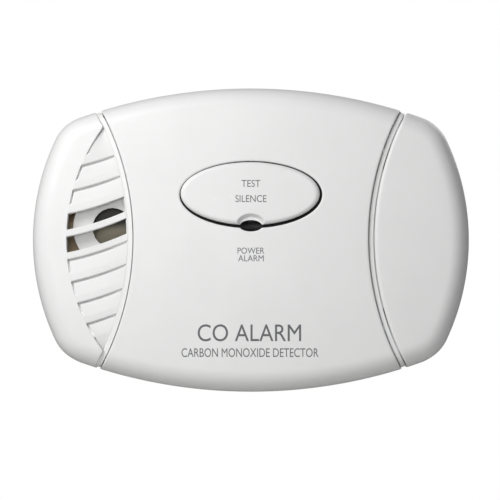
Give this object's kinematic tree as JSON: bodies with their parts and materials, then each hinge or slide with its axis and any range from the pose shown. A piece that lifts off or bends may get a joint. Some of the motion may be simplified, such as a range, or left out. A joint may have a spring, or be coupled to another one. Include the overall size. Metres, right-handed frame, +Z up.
{
  "type": "carbon monoxide alarm",
  "caption": "Wall-hung battery carbon monoxide alarm: barrel-shaped white case, louvred left wing, oval test button, sliding battery door and wall bracket.",
  "frame": {"origin": "centre of the wall bracket's back face, on the wall", "axes": "+Z up, +X to the right as seen from the front, +Y into the wall"},
  "size_m": [0.144, 0.0385, 0.1],
  "materials": {
    "case_plastic": "fine moulded texture, satin white",
    "inner_plastic": "smooth, off-white",
    "black_plastic": "smooth, black",
    "board_laminate": "tan laminate with solder mask",
    "bright_steel": "zinc or nickel plated",
    "brass_disc": "rolled brass",
    "filter_felt": "pressed felt",
    "green_lamp": "tinted clear, unlit",
    "red_lamp": "tinted clear, unlit",
    "cell_jacket": "printed film jacket, plain",
    "red_wire": "smooth insulation",
    "black_wire": "smooth insulation",
    "label_paper": "plain coated paper"
  },
  "bodies": {
    "bracket": {"wall_bracket": "inner_plastic"},
    "alarm": {"rear_housing": "case_plastic", "front_cover": "case_plastic", "face_panel": "case_plastic", "circuit_board": "board_laminate", "horn_housing": "inner_plastic", "piezo_disc": "brass_disc", "horn_contact_centre": "bright_steel", "horn_contact_rim": "bright_steel", "sensor_body": "black_plastic", "sensor_filter": "filter_felt", "sensor_cap": "bright_steel", "switch_body": "black_plastic", "led_holder": "black_plastic", "led_green": "green_lamp", "led_red": "red_lamp", "microcontroller": "black_plastic", "horn_transformer": "black_plastic", "capacitor_large": "black_plastic", "capacitor_small": "black_plastic", "cell_inner": "cell_jacket", "cell_outer": "cell_jacket", "terminal_negative": "bright_steel", "terminal_positive": "bright_steel", "bridge_contact": "bright_steel", "spring_inner": "bright_steel", "spring_outer": "bright_steel", "lead_black": "black_wire", "lead_red": "red_wire", "case_screw_1": "bright_steel", "case_screw_2": "bright_steel", "case_screw_3": "bright_steel", "case_screw_4": "bright_steel", "board_screw_1": "bright_steel", "board_screw_2": "bright_steel", "board_screw_3": "bright_steel", "rear_label": "label_paper"},
    "button": {"test_button": "case_plastic"},
    "stem": {"switch_stem": "black_plastic"},
    "door": {"battery_door": "case_plastic"}
  },
  "joints": [
    {"name": "alarm_lift", "type": "slide", "parent": "bracket", "child": "alarm", "axis": [0, 0, 1], "range_m": [0, 0.007]},
    {"name": "button_press", "type": "slide", "parent": "alarm", "child": "button", "axis": [0, 1, 0], "range_m": [0, 0.0011], "stiffness_N_per_m": 900, "springref_m": -0.0006},
    {"name": "stem_press", "type": "slide", "parent": "alarm", "child": "stem", "axis": [0, 1, 0], "range_m": [0, 0.00035]},
    {"name": "door_slide", "type": "slide", "parent": "alarm", "child": "door", "axis": [1, 0, 0], "range_m": [0, 0.04]}
  ],
  "couplings": [
    {"joint": "stem_press", "follows": "button_press", "ratio": 0.318}
  ]
}
